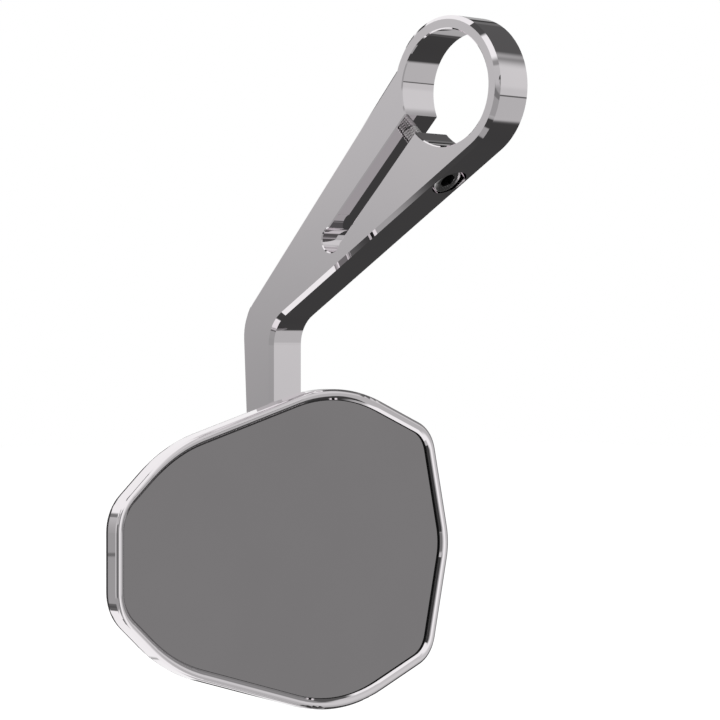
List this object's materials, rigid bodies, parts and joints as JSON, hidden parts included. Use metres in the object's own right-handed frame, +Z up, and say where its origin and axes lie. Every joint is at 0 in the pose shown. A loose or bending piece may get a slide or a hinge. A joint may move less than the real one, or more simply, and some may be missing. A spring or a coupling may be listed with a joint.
{
  "type": "motorcycle bar end mirror",
  "caption": "Faceted chrome rear-view mirror on a machined arm with a split clamp ring for a bar end; the head turns on a ball joint.",
  "frame": {"origin": "centre of the clamp's bore, halfway through the arm's plate", "axes": "+X along the bore, +Y from the clamp towards the leg with the mirror face looking to -Y, +Z up"},
  "size_m": [0.128, 0.1008, 0.1929],
  "materials": {
    "arm_chrome": "polished and chrome plated",
    "housing_chrome": "polished and chrome plated",
    "screw_bright": "bright steel, knurled head",
    "screw_steel": "zinc plated",
    "stud_steel": "ground and polished",
    "spring_steel": "oiled spring steel",
    "plate_steel": "stamped, zinc plated",
    "seat_nylon": "natural nylon",
    "pad_foam": "black adhesive foam",
    "mirror_glass": "tinted mirror glass"
  },
  "bodies": {
    "arm_body": {"arm": "arm_chrome", "clamp_screw": "screw_bright", "ball_stud": "stud_steel", "stud_washer": "spring_steel", "stud_screw": "screw_steel"},
    "rear_seat_body": {"rear_seat": "seat_nylon"},
    "front_seat_body": {"front_seat": "seat_nylon"},
    "head_body": {"housing": "housing_chrome", "press_plate": "plate_steel", "glass_pad": "pad_foam", "mirror_glass": "mirror_glass", "lower_spring_1": "spring_steel", "lower_spring_2": "spring_steel", "lower_spring_3": "spring_steel", "upper_spring_1": "spring_steel", "upper_spring_2": "spring_steel", "upper_spring_3": "spring_steel", "press_screw_1": "screw_steel", "press_screw_2": "screw_steel", "press_screw_3": "screw_steel"}
  },
  "joints": [
    {"name": "head_pan", "type": "hinge", "parent": "arm_body", "child": "rear_seat_body", "pos_m": [0, 0.05604, -0.1279], "axis": [0, 0, 1], "range_deg": [-15, 15]},
    {"name": "head_tilt", "type": "hinge", "parent": "rear_seat_body", "child": "front_seat_body", "pos_m": [0, 0.05604, -0.1279], "axis": [1, 0, 0], "range_deg": [-15, 15]},
    {"name": "head_turn", "type": "hinge", "parent": "front_seat_body", "child": "head_body", "pos_m": [0, 0.05604, -0.1279], "axis": [0, 1, 0], "range_deg": [-225, 45]}
  ]
}
